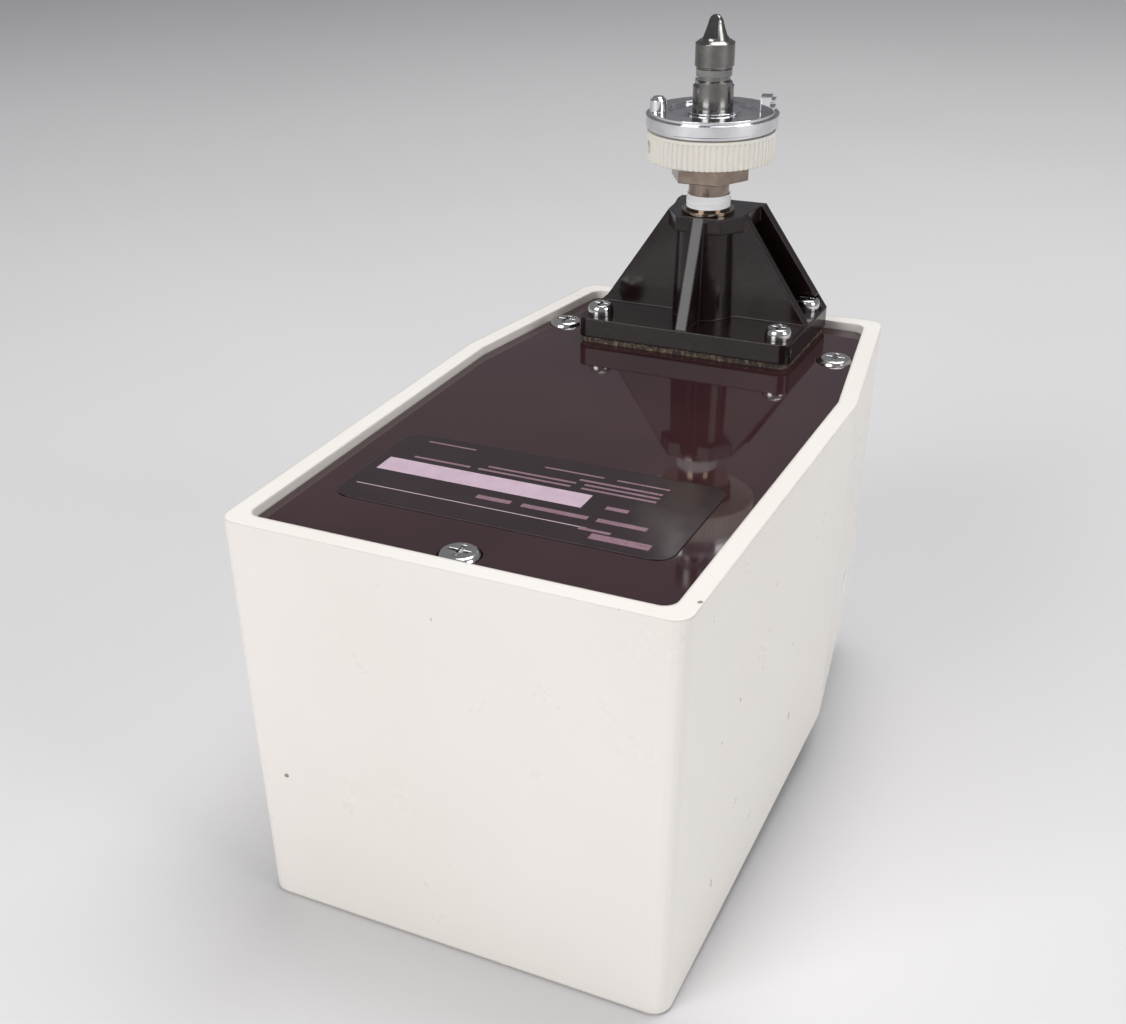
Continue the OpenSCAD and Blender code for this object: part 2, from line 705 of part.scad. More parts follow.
module selector_cap() color(brass) place() at_mode() {
    rod(sel_r, sel_top, sel_top + 3);
    hexagon(12, sel_top + 2.9, sel_top + 6);
}

module selector_rotor() color(brass) place() at_mode() difference() {
    union() {
        rod(rotor_r, inner_z + 3 + run, sel_top - 0.2);
        rod(spindle_d / 2, 3, inner_z + 4);
    }
    // Passage that joins two ports at a time
    translate([0, 0, line_z]) rotate([90, 0, 0]) cylinder(r = 1.8, h = 2 * rotor_r + 2, center = true);
}

module mode_knob() color(black) place() at_mode() difference() {
    union() {
        rod(mode_d / 2, 5, knob_h);
        rod(mode_d / 2 - 1, 4.2, 5.1);
        // Grip bar across the knob, with a pointed end
        linear_extrude(6) polygon([[-5, -mode_d / 2 + 1.5], [5, -mode_d / 2 + 1.5], [5, mode_d / 2 - 6],
            [0, mode_d / 2 - 0.5], [-5, mode_d / 2 - 6]]);
    }
    rod(spindle_d / 2 + 0.05, 3, knob_h + 1);
}

// --- Chassis and timing module -----------------------------------------------

module chassis_plate() color(steel) place() difference() {
    translate([-post_x - 4.5, post_y[0] - 4.5, chassis_z])
        cube([2 * post_x + 9, post_y[1] - post_y[0] + 9, chassis_t]);
    at_posts() rod(1.6, chassis_z - 1, chassis_z + chassis_t + 1);
}

module chassis_screws() color(chrome) place()
    at_posts() pan_screw(2.3, 5.5, 1.8, 8, chassis_z + chassis_t);

module timing_module() color(steel) place() difference() {
    union() {
        translate([-module_w / 2, module_y[0], mod_z]) cube([module_w, module_y[1] - module_y[0], module_h]);
        for (x = [-10, 20]) tail([x, module_y[1], tap_z], [0, 1, 0]);
    }
    for (x = [-12, 12]) translate([x, (module_y[0] + module_y[1]) / 2, 0])
        rod(9, mod_z + module_h - 8, mod_z + module_h + 1);
    at_module_screws() rod(1.2, mod_z + module_h - 8, mod_z + module_h + 1);
}

module at_module_screws() for (x = [-1, 1]) for (y = module_y)
    translate([x * (module_w / 2 - 4), y + (y == module_y[0] ? 4 : -4), 0]) children();

module timing_cover() color(black) place() difference() {
    union() {
        translate([-module_w / 2, module_y[0], mod_z + module_h])
            cube([module_w, module_y[1] - module_y[0], 4]);
        for (x = [-12, 12]) translate([x, (module_y[0] + module_y[1]) / 2, 0])
            rod(10, mod_z + module_h + 3.9, mod_z + module_h + 7);
    }
    at_module_screws() rod(1.5, mod_z + module_h - 1, mod_z + module_h + 5);
}

module timing_screws() color(chrome) place()
    at_module_screws() pan_screw(2.2, 5, 1.8, 10, mod_z + module_h + 4);

module reservoir() color(brass) place() difference() {
    union() {
        bar([tank_x, tank_y[0], mod_z + tank_r + 0.3], [tank_x, tank_y[1], mod_z + tank_r + 0.3], tank_r);
        tail([tank_x, tank_y[1], mod_z + tank_r + 0.3], [0, 1, 0]);
        // Saddle that stands on the chassis plate
        translate([tank_x - 5, 44, mod_z]) cube([10, 14, 4]);
    }
    bar([tank_x, tank_y[0] + 1.5, mod_z + tank_r + 0.3], [tank_x, tank_y[1] - 1.5, mod_z + tank_r + 0.3], tank_r - 1.5);
}

// --- Hoses -------------------------------------------------------------------

hose_gap = 1;                                // shoulder left bare between a hose and its wall
supply_end = stem_low - 1;

module supply_hose() color(rubber) place() hose([[0, probe_y, supply_end], [0, probe_y, line_z],
    [knob_x, probe_y, line_z], [knob_x, knob_y + sel_r + hose_gap, line_z]]);

module link_hose() color(rubber) place() hose([[-knob_x + reg_r + hose_gap, knob_y, line_z],
    [knob_x - sel_r - hose_gap, knob_y, line_z]]);

module timing_hose() color(rubber) place() hose([[knob_x, knob_y - sel_r - hose_gap, line_z],
    [knob_x, knob_y - sel_r - 13, line_z], [20, knob_y - sel_r - 13, tap_z],
    [20, module_y[1] + hose_gap, tap_z]]);

module gauge_hose() color(rubber) place() hose([[0, gauge_y + 4 + hose_gap, gauge_tap_z],
    [0, knob_y - reg_r - 11, gauge_tap_z], [-knob_x, knob_y - reg_r - 11, line_z],
    [-knob_x, knob_y - reg_r - hose_gap, line_z]]);

module patient_hose() color(rubber) place() hose([[-elbow_x - hose_gap, elbow_y, line_z],
    [-knob_x, elbow_y, line_z], [-knob_x, knob_y + reg_r + hose_gap, line_z]]);

tank_z = mod_z + tank_r + 0.3;

module reservoir_hose() color(rubber) place() hose([[tank_x, tank_y[1] + hose_gap, tank_z],
    [tank_x, tank_y[1] + 12, tank_z], [-10, tank_y[1] + 12, tap_z], [-10, module_y[1] + hose_gap, tap_z]]);

// --- Patient port ------------------------------------------------------------

elbow_y = case_l - wall - 7.2;
elbow_x = 5;
bore_r = 2.5;

module patient_port() color(chrome) place() difference() {
    union() {
        // Hexagon collar outside, nipple, threaded shank and the inside elbow
        translate([0, case_l + washer_t, line_z]) rotate([-90, 30, 0]) hexagon(16, 0, collar_t - washer_t);
        translate([0, case_l, line_z]) rotate([-90, 0, 0]) {
            rod(nipple_d / 2, collar_t - 0.1, collar_t + nipple_l - 1.5);
            translate([0, 0, collar_t + nipple_l - 1.51]) cylinder(r1 = nipple_d / 2, r2 = nipple_d / 2 - 1, h = 1.51);
        }
        translate([0, elbow_y - 4, line_z]) rotate([-90, 0, 0])
            cylinder(r = port_thread_r - 0.15, h = case_l + washer_t + 0.1 - elbow_y + 4);
        tail([-elbow_x, elbow_y, line_z], [-1, 0, 0]);
    }
    translate([0, elbow_y, line_z]) rotate([-90, 0, 0]) cylinder(r = bore_r, h = case_l);
}

washer_t = 1;

module port_washer() color(rubber) place() translate([0, case_l, line_z]) rotate([-90, 0, 0])
    tube(8.2, port_thread_r + 0.05, 0, washer_t);

module port_nut() color(steel) place() translate([0, case_l - wall - 3, line_z]) rotate([-90, 0, 0])
    difference() {
        hexagon(16, 0, 3);
        rod(port_thread_r, -1, 5);
    }

// --- Nodes -------------------------------------------------------------------

case_shell();
front_panel();
back_plate();
back_plate_screws();
rating_label();
bracket_gasket();
wall_bracket();
bracket_screws();
bracket_nuts();
supply_stem();
adapter_body();
thread_tape();
grip_ring();
ring_set_screw();
index_plate();
index_pins();
probe_stem();
probe_head();
probe_seal();
gauge_case();
gauge_clamp();
gauge_bezel();
gauge_lens();
gauge_dial();
gauge_capsule();
gauge_movement();
gauge_pointer();
regulator_bonnet();
regulator_diaphragm();
regulator_body();
range_spring();
spring_cup();
control_spindle();
control_knob();
selector_body();
selector_cap();
selector_rotor();
mode_knob();
panel_nuts();
chassis_plate();
chassis_screws();
timing_module();
timing_cover();
timing_screws();
reservoir();
supply_hose();
link_hose();
timing_hose();
gauge_hose();
patient_hose();
reservoir_hose();
patient_port();
port_nut();
port_washer();
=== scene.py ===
# %% [markdown]
# # A wall suction unit, lying on its control face
#
# Hospitals pipe vacuum to outlets in the wall. This unit plugs into one of them with the
# metal probe on its back, and brings the pull down to a gentle, adjustable level. The frame
# is the machine's own CAD model, already grouped into bodies. This file adds the camera,
# the light, the finishes and the small details, one step per cell.

# %% Load the frame
import math
import bmesh
import bpy
from mathutils import Matrix, Vector


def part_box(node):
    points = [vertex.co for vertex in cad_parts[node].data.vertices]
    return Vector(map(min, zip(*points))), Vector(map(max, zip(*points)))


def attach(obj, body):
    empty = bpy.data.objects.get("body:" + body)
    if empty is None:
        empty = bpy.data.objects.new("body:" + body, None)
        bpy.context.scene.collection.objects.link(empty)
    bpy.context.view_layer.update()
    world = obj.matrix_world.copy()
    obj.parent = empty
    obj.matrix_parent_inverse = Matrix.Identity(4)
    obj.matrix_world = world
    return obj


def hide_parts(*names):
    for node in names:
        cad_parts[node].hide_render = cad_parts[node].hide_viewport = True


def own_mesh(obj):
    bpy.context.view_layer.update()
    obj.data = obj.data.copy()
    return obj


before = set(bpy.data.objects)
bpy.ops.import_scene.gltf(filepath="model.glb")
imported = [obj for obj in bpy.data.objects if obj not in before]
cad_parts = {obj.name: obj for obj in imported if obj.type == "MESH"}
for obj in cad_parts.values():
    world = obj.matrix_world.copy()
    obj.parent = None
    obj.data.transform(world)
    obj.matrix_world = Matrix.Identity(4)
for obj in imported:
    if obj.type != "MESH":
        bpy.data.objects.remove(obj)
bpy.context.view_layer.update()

MM = 0.001

# %% [markdown]
# ## Places that everything else is measured from
#
# Each CAD part can tell its own box. Reading the case's wide end, the top of the label and
# the middle of the gauge from those boxes keeps the added pieces in step with the frame.
# Typing the numbers in again would also work, until somebody changes the CAD.

# %% Heights and centres from the CAD parts
def box_mm(node):
    low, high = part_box(node)
    return [v / MM for v in low], [v / MM for v in high]

def middle(low, high, axis):
    return (low[axis] + high[axis]) / 2

wide_end = box_mm("case_shell")[0][1]
label_top = box_mm("rating_label")[1][2]
dial_low, dial_high = box_mm("gauge_dial")
gauge_y = middle(dial_low, dial_high, 1)
print("label top at", round(label_top, 2), "mm, gauge centre at y =", round(gauge_y, 2), "mm")

# %% [markdown]
# ## The camera
#
# The unit is seen from above one corner, with a fairly wide lens, so its near corner looms
# and its far end shrinks. A camera is only a place, a direction and a focal length. Here all
# three are written down as a matrix, because the camera also rolls a little, which "track
# to" constraints can't do.

# %% Camera
cam_data = bpy.data.cameras.new("camera")
cam = bpy.data.objects.new("camera", cam_data)
bpy.context.scene.collection.objects.link(cam)
tilt, roll, turn = (math.radians(a) for a in (28.604, -1.913, -28.506))
spin_z = Matrix.Rotation(turn, 3, "Z")
axes_swap = Matrix(((1, 0, 0), (0, 0, -1), (0, 1, 0)))
spin_x = Matrix.Rotation(tilt, 3, "X")
spin_roll = Matrix.Rotation(roll, 3, "Z")
look = spin_roll @ spin_x @ axes_swap @ spin_z
right, up, back = look[0], -look[1], -look[2]
eye_right, eye_before_wide_end, eye_height = 129.68, 224.38, 236.25
spot = Vector((eye_right, wide_end - eye_before_wide_end, eye_height)) * MM
cam.matrix_world = Matrix((
    (right.x, up.x, back.x, spot.x), (right.y, up.y, back.y, spot.y),
    (right.z, up.z, back.z, spot.z), (0, 0, 0, 1)))
cam_data.sensor_width = 36
cam_data.lens = 49.39
cam_data.shift_x, cam_data.shift_y = 0.0816, 0.0569
cam_data.clip_start = 0.01
bpy.context.scene.camera = cam
print("camera at", [round(v, 3) for v in spot], "m, lens", cam_data.lens, "mm")

# %% [markdown]
# ## Floor and backdrop
#
# A pale sheet that curves up behind the unit, like the paper sweep in a photo studio, gives
# soft shadows and nothing to distract. It is spun from a short line, so the curve is a real
# arc and not a stack of hand-placed points. It is a stage piece, not part of the unit.

# %% Floor
def new_object(name, bm, smooth_angle=None):
    bmesh.ops.recalc_face_normals(bm, faces=bm.faces)
    mesh = bpy.data.meshes.new(name)
    bm.to_mesh(mesh)
    bm.free()
    if smooth_angle is not None:
        mesh.shade_smooth()
        mesh.set_sharp_from_angle(angle=math.radians(smooth_angle))
    obj = bpy.data.objects.new(name, mesh)
    bpy.context.scene.collection.objects.link(obj)
    return obj

floor_half, curve_radius = 3.0, 1.2
floor_drop = 0.2 * MM
sweep = bmesh.new()
bmesh.ops.create_grid(sweep, x_segments=1, y_segments=1, size=floor_half)
far = [e for e in sweep.edges if all(v.co.y > floor_half / 2 for v in e.verts)]
bmesh.ops.spin(sweep, geom=far, cent=(0, floor_half, curve_radius), axis=(1, 0, 0),
               dvec=(0, 0, 0), angle=math.radians(85), steps=24)
bmesh.ops.translate(sweep, verts=sweep.verts, vec=(0, 0, -floor_drop))
floor = new_object("floor", sweep, 40)
if floor.data.polygons[0].normal.z < 0:
    floor.data.flip_normals()
print("floor with", len(floor.data.polygons), "faces")

# %% [markdown]
# ## A small kit for finishes
#
# Every finish is a short node tree: a texture gives the variation, a colour ramp or a mix
# turns it into colour or roughness, and a bump node makes the fine relief. Object
# coordinates are in metres, so a scale of 1000 means one pattern per millimetre.

# %% Node helpers
def new_material(name):
    mat = bpy.data.materials.new(name)
    mat.use_nodes = True
    tree = mat.node_tree
    shader = tree.nodes["Principled BSDF"]
    coords = tree.nodes.new("ShaderNodeTexCoord")
    return mat, tree, shader, coords.outputs["Object"]

def noise(tree, where, scale, detail=3.0, roughness=0.5):
    node = tree.nodes.new("ShaderNodeTexNoise")
    node.inputs["Scale"].default_value = scale
    node.inputs["Detail"].default_value = detail
    node.inputs["Roughness"].default_value = roughness
    tree.links.new(where, node.inputs["Vector"])
    return node.outputs["Fac"]

def ramp(tree, value, stops):
    node = tree.nodes.new("ShaderNodeValToRGB")
    while len(node.color_ramp.elements) < len(stops):
        node.color_ramp.elements.new(0.5)
    for element, (place, colour) in zip(node.color_ramp.elements, stops):
        element.position = place
        element.color = (*colour, 1) if len(colour) == 3 else colour
    tree.links.new(value, node.inputs["Fac"])
    return node.outputs["Color"]

# Nearly all of a noise pattern's values lie between these two.
NOISE_LOW, NOISE_HIGH = 0.3, 0.7

def two_tones(tree, value, dark, light):
    return ramp(tree, value, [(NOISE_LOW, dark), (NOISE_HIGH, light)])

def spread(tree, value, low, high):
    node = tree.nodes.new("ShaderNodeMapRange")
    node.inputs["From Min"].default_value = NOISE_LOW
    node.inputs["From Max"].default_value = NOISE_HIGH
    node.inputs["To Min"].default_value = low
    node.inputs["To Max"].default_value = high
    tree.links.new(value, node.inputs["Value"])
    return node.outputs["Result"]

def mix_colour(tree, amount, first, second, how="MIX"):
    node = tree.nodes.new("ShaderNodeMix")
    node.data_type = "RGBA"
    node.blend_type = how
    for socket, value in (("Factor", amount), ("A", first), ("B", second)):
        slot = next(s for s in node.inputs if s.name == socket and s.enabled)
        if isinstance(value, (int, float)):
            slot.default_value = value
        elif isinstance(value, tuple):
            slot.default_value = (*value, 1)
        else:
            tree.links.new(value, slot)
    return next(s for s in node.outputs if s.enabled)

EDGE_SAMPLES = 6
SMALL_EDGE = 0.3 * MM

def bump(tree, shader, height, strength, distance, edge=0.0):
    """Fine relief; edge is the radius, in metres, by which sharp edges look rounded."""
    node = tree.nodes.new("ShaderNodeBump")
    node.inputs["Strength"].default_value = strength
    node.inputs["Distance"].default_value = distance
    if edge:
        soft = tree.nodes.new("ShaderNodeBevel")
        soft.samples = EDGE_SAMPLES
        soft.inputs["Radius"].default_value = edge
        tree.links.new(soft.outputs["Normal"], node.inputs["Normal"])
    tree.links.new(height, node.inputs["Height"])
    tree.links.new(node.outputs["Normal"], shader.inputs["Normal"])
    return node

def rim_wear(tree, radius):
    """Bright along outer edges: the bevelled normal leaves the true one there."""
    bevel = tree.nodes.new("ShaderNodeBevel")
    bevel.samples = EDGE_SAMPLES
    bevel.inputs["Radius"].default_value = radius
    facing = tree.nodes.new("ShaderNodeNewGeometry")
    dot = tree.nodes.new("ShaderNodeVectorMath")
    dot.operation = "DOT_PRODUCT"
    tree.links.new(bevel.outputs["Normal"], dot.inputs[0])
    tree.links.new(facing.outputs["Normal"], dot.inputs[1])
    return ramp(tree, dot.outputs["Value"], [(0.80, (1, 1, 1)), (0.97, (0, 0, 0))])

# %% [markdown]
# ## Case plastic
#
# The case is a warm white moulding with a soft gloss. Old white plastic is never quite even:
# it yellows in patches, and handling leaves faint scuffs that show only in its shine. One
# wide noise tints the colour, a finer one roughens it, and a few rare specks are dirt.

# %% Case plastic
shell_mat, tree, shader, where = new_material("warm white case plastic")
patches = noise(tree, where, 14, 3)
body = two_tones(tree, patches, (0.84, 0.795, 0.74), (0.875, 0.84, 0.79))
specks = noise(tree, where, 330, 0)
speckled = ramp(tree, specks, [(0.105, (0.35, 0.30, 0.26)), (0.115, (1, 1, 1))])
tree.links.new(mix_colour(tree, 1.0, body, speckled, "MULTIPLY"), shader.inputs["Base Color"])
scuffs = noise(tree, where, 60, 5, 0.65)
tree.links.new(spread(tree, scuffs, 0.26, 0.40), shader.inputs["Roughness"])
bump(tree, shader, noise(tree, where, 1500, 2), 0.12, 0.06 * MM, edge=0.9 * MM)
shader.inputs["Coat Weight"].default_value = 0.25
shader.inputs["Coat Roughness"].default_value = 0.18
print("made", shell_mat.name)

# %% [markdown]
# ## Polished back plate
#
# The back plate is a very dark red-brown acrylic, polished like a mirror: the bracket and
# the probe stand on their own reflection. So its roughness is close to nothing, with only a
# haze of fine wipe marks, and its colour shows mainly where nothing bright is mirrored.

# %% Back plate
plate_mat, tree, shader, where = new_material("polished dark back plate")
streak_map = tree.nodes.new("ShaderNodeMapping")
streak_map.inputs["Scale"].default_value = (1.0, 0.12, 1.0)
streak_map.inputs["Rotation"].default_value = (0, 0, 0.5)
tree.links.new(where, streak_map.inputs["Vector"])
wipes = noise(tree, streak_map.outputs["Vector"], 260, 4, 0.6)
depth = two_tones(tree, noise(tree, where, 25, 2), (0.030, 0.011, 0.013), (0.040, 0.016, 0.018))
tree.links.new(depth, shader.inputs["Base Color"])
tree.links.new(spread(tree, wipes, 0.02, 0.075), shader.inputs["Roughness"])
bump(tree, shader, noise(tree, where, 35, 1), 0.05, 0.4 * MM, edge=SMALL_EDGE)
shader.inputs["IOR"].default_value = 1.55
print("made", plate_mat.name)

# %% [markdown]
# ## Bracket plastic
#
# The bracket is a filled, glossy moulding. Close up it has a slight orange-peel skin, so
# its highlights break into soft patches, and its edges are rubbed a little paler.

# %% Bracket plastic
bracket_mat, tree, shader, where = new_material("glossy black bracket plastic")
skin = noise(tree, where, 420, 3, 0.6)
base = two_tones(tree, noise(tree, where, 70, 3), (0.010, 0.005, 0.005), (0.018, 0.010, 0.010))
rubbed = mix_colour(tree, rim_wear(tree, 0.5 * MM), base, (0.045, 0.028, 0.026))
tree.links.new(rubbed, shader.inputs["Base Color"])
gloss = noise(tree, where, 150, 4, 0.6)
tree.links.new(spread(tree, gloss, 0.09, 0.22), shader.inputs["Roughness"])
shader.inputs["Specular IOR Level"].default_value = 0.32
bump(tree, shader, skin, 0.22, 0.22 * MM, edge=0.6 * MM)
print("made", bracket_mat.name)

# %% [markdown]
# ## Metals
#
# Polished chrome is a pale metal with almost no roughness. Turned steel is darker, and its
# lathe marks run round the part: noise squeezed along Z and stretched around gives fine
# rings. The nickel hex and neck get a dark bronze tint, which is a painted pink reflection
# and painted dark reflections. One function makes all of them, because only the tint, the
# shine and the marks differ.

# %% Metals
def metal(name, dark, light, shine, rings=0.0, grain=0.0):
    mat, tree, shader, where = new_material(name)
    shader.inputs["Metallic"].default_value = 1.0
    tint = two_tones(tree, noise(tree, where, 240, 4, 0.6), dark, light)
    tree.links.new(tint, shader.inputs["Base Color"])
    handling = noise(tree, where, 500, 4, 0.6)
    tree.links.new(spread(tree, handling, *shine), shader.inputs["Roughness"])
    if rings:
        squeeze = tree.nodes.new("ShaderNodeMapping")
        squeeze.inputs["Scale"].default_value = (20, 20, 4200)
        tree.links.new(where, squeeze.inputs["Vector"])
        lathe = noise(tree, squeeze.outputs["Vector"], 1, 2)
        bump(tree, shader, lathe, rings, 0.05 * MM, edge=SMALL_EDGE)
    elif grain:
        bump(tree, shader, noise(tree, where, 900, 3), grain, 0.08 * MM, edge=SMALL_EDGE)
    return mat

chrome_mat = metal("bright chrome", (0.64, 0.64, 0.66), (0.80, 0.80, 0.82),
                   (0.04, 0.10), grain=0.03)
screw_mat = metal("plated screw steel", (0.58, 0.57, 0.56), (0.74, 0.73, 0.72),
                  (0.10, 0.22), grain=0.08)
probe_mat = metal("turned probe steel", (0.17, 0.163, 0.155), (0.27, 0.262, 0.25),
                  (0.14, 0.24), rings=0.35)
# Painted reflection: this dark bronze tint stands in for a pink wall and dark surroundings
# mirrored in the nickel hex and neck.
nickel_pink_reflection_mat = metal("nickel with painted pink reflection", (0.20, 0.155, 0.125), (0.31, 0.25, 0.205),
                   (0.07, 0.15), grain=0.06)
steel_mat = metal("satin steel", (0.42, 0.42, 0.42), (0.56, 0.56, 0.56),
                  (0.28, 0.42), grain=0.1)
brass_mat = metal("machined brass", (0.55, 0.40, 0.18), (0.72, 0.55, 0.27),
                  (0.18, 0.32), grain=0.1)
alloy_mat = metal("cast alloy", (0.50, 0.51, 0.52), (0.62, 0.63, 0.64),
                  (0.38, 0.55), grain=0.35)
print("made 7 metals")

# %% [markdown]
# ## Nylon, rubber and the small plastics
#
# The grip ring is nylon that has yellowed in patches, and lets a little light into its
# surface. The knobs, films, hoses and dial differ from it only in tint, shine and grain, so
# one function with three extra sizes makes them all.

# %% Plastics and rubber
def plastic(name, dark, light, shine, size=80, relief=0.1, fine=1200):
    mat, tree, shader, where = new_material(name)
    tint = two_tones(tree, noise(tree, where, size, 4, 0.6), dark, light)
    tree.links.new(tint, shader.inputs["Base Color"])
    dull = noise(tree, where, size * 4, 3)
    tree.links.new(spread(tree, dull, *shine), shader.inputs["Roughness"])
    bump(tree, shader, noise(tree, where, fine, 2), relief, 0.08 * MM, edge=SMALL_EDGE)
    return mat

ring_mat = plastic("aged white nylon", (0.85, 0.81, 0.72), (0.90, 0.885, 0.84),
                   (0.30, 0.42), 40)
ring_shader = ring_mat.node_tree.nodes["Principled BSDF"]
ring_shader.inputs["Subsurface Weight"].default_value = 0.08
ring_shader.inputs["Subsurface Scale"].default_value = 2 * MM
knob_mat = plastic("black knob plastic", (0.025, 0.025, 0.028), (0.04, 0.04, 0.043),
                   (0.35, 0.5), 90, 0.2)
overlay_mat = plastic("black panel film", (0.045, 0.045, 0.05), (0.06, 0.06, 0.066),
                      (0.4, 0.55), 60, 0.3, 2600)
rubber_mat = plastic("black rubber", (0.03, 0.03, 0.03), (0.05, 0.048, 0.045),
                     (0.6, 0.8), 120, 0.3)
seal_mat = plastic("grey seal", (0.16, 0.16, 0.155), (0.24, 0.24, 0.23), (0.3, 0.45), 150)
film_mat = plastic("dark label film", (0.017, 0.009, 0.011), (0.026, 0.014, 0.016),
                   (0.12, 0.2), 40, 0.05)
dial_mat = plastic("painted dial", (0.84, 0.84, 0.81), (0.88, 0.88, 0.86),
                   (0.45, 0.55), 60, 0.05)
print("made 7 plastics and rubbers")

# %% [markdown]
# ## Inks
#
# Print is a thin, even layer: its grain is finer than that of the piece it lies on, and it
# has hardly any relief. The label's two lilac inks are a pale one and a faint one. White and
# black ones mark the control panel and the dial.

# %% Inks
print_mat = plastic("pale lilac label ink", (0.50, 0.37, 0.45), (0.57, 0.43, 0.51),
                    (0.3, 0.42), 300, 0.05)
faint_mat = plastic("faint lilac label ink", (0.21, 0.12, 0.155), (0.27, 0.16, 0.20),
                    (0.25, 0.35), 300, 0.05)
mark_mat = plastic("black dial ink", (0.02, 0.02, 0.02), (0.035, 0.035, 0.035),
                   (0.4, 0.5), 100, 0.05)
pale_mat = plastic("white panel ink", (0.78, 0.78, 0.76), (0.84, 0.84, 0.82),
                   (0.4, 0.5), 100, 0.05)
print("made 4 inks")

# %% [markdown]
# ## Thread tape, cork gasket and lens
#
# Thread tape is thin white film with stretched folds, so its noise is squeezed along Z. The
# gasket is rubber filled with ground cork: a ramp with three stops turns one noise into
# dark rubber, brown cork and pale crumbs. The gauge's lens is clear and nearly smooth.

# %% Tape, gasket and lens
tape_mat, tree, shader, where = new_material("stretched thread tape")
folds = tree.nodes.new("ShaderNodeMapping")
folds.inputs["Scale"].default_value = (120, 120, 2600)
tree.links.new(where, folds.inputs["Vector"])
wrinkle = noise(tree, folds.outputs["Vector"], 1, 3)
creased = two_tones(tree, wrinkle, (0.80, 0.79, 0.80), (0.93, 0.93, 0.93))
tree.links.new(creased, shader.inputs["Base Color"])
tree.links.new(spread(tree, wrinkle, 0.42, 0.6), shader.inputs["Roughness"])
bump(tree, shader, wrinkle, 0.5, 0.2 * MM)

gasket_mat, tree, shader, where = new_material("cork-filled gasket")
crumbs = noise(tree, where, 900, 4, 0.7)
cork = ramp(tree, crumbs, [
    (0.45, (0.035, 0.027, 0.022)), (0.60, (0.17, 0.12, 0.08)), (0.70, (0.42, 0.33, 0.23))])
tree.links.new(cork, shader.inputs["Base Color"])
tree.links.new(spread(tree, crumbs, 0.6, 0.9), shader.inputs["Roughness"])
bump(tree, shader, crumbs, 0.8, 0.4 * MM)

glass_mat, tree, shader, where = new_material("clear lens")
clear_tint = two_tones(tree, noise(tree, where, 30, 2), (0.96, 0.98, 0.98), (1, 1, 1))
tree.links.new(clear_tint, shader.inputs["Base Color"])
tree.links.new(spread(tree, noise(tree, where, 200, 3), 0.0, 0.05), shader.inputs["Roughness"])
shader.inputs["Transmission Weight"].default_value = 1.0
shader.inputs["IOR"].default_value = 1.49
print("made", tape_mat.name + ",", gasket_mat.name, "and", glass_mat.name)

# %% [markdown]
# ## Finishes on the CAD parts
#
# The CAD parts keep their shapes and get their real finishes: one table says which part is
# made of what. Parts that are remodelled below aren't in it.

# %% Give each CAD part its finish
finishes = {
    shell_mat: ["case_shell"], plate_mat: ["back_plate"],
    bracket_mat: ["wall_bracket", "timing_cover"],
    gasket_mat: ["bracket_gasket"], chrome_mat: ["index_plate", "index_pins", "patient_port"],
    screw_mat: ["back_plate_screws", "bracket_screws", "chassis_screws", "timing_screws",
                "panel_nuts"],
    probe_mat: ["probe_stem", "probe_head"], nickel_pink_reflection_mat: ["adapter_body", "supply_stem"],
    steel_mat: ["bracket_nuts", "ring_set_screw", "gauge_case", "gauge_clamp", "control_spindle",
                "chassis_plate", "port_nut"],
    brass_mat: ["gauge_capsule", "gauge_movement", "spring_cup", "selector_cap",
                "selector_rotor", "reservoir"],
    alloy_mat: ["regulator_bonnet", "regulator_body", "selector_body", "timing_module"],
    ring_mat: ["grip_ring"], seal_mat: ["probe_seal"], film_mat: ["rating_label"],
    tape_mat: ["thread_tape"],
    knob_mat: ["control_knob", "mode_knob", "gauge_bezel"], overlay_mat: ["front_panel"],
    rubber_mat: ["regulator_diaphragm", "supply_hose", "link_hose", "timing_hose", "gauge_hose",
                 "patient_hose", "reservoir_hose", "port_washer"],
    dial_mat: ["gauge_dial"], glass_mat: ["gauge_lens"], mark_mat: ["gauge_pointer"]}
dressed = 0
for material, nodes in finishes.items():
    for node in nodes:
        part = bpy.data.objects[node]
        part.data.materials.clear()
        part.data.materials.append(material)
        dressed += 1
print(dressed, "CAD parts have finishes")

# %% [markdown]
# ## Print on the label
#
# A rating label carries lines of print and a pale panel for a number. This one stays
# generic: the print is drawn as plain bars of the right length, with no letters. Each bar
# is a flat sheet a fiftieth of a millimetre above the film, cut from a grid and given its
# place in the mesh. Painting the bars into an image would need a picture file.

# %% Helpers for marks
PRINT_LIFT = 0.02

def bar_sheet(bm, width, height, x=0.0, y=0.0, z=0.0):
    """A flat bar, sizes and place in mm; gives back its corners."""
    corners = bmesh.ops.create_grid(bm, x_segments=1, y_segments=1, size=0.5)["verts"]
    bmesh.ops.scale(bm, vec=(width * MM, height * MM, 1), verts=corners)
    bmesh.ops.translate(bm, vec=(x * MM, y * MM, z * MM), verts=corners)
    return corners

def mark_piece(name, bm, ink):
    obj = new_object(name, bm)
    obj.data.materials.append(ink)
    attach(obj, "case")
    print(name, "has", len(obj.data.polygons), "marks")

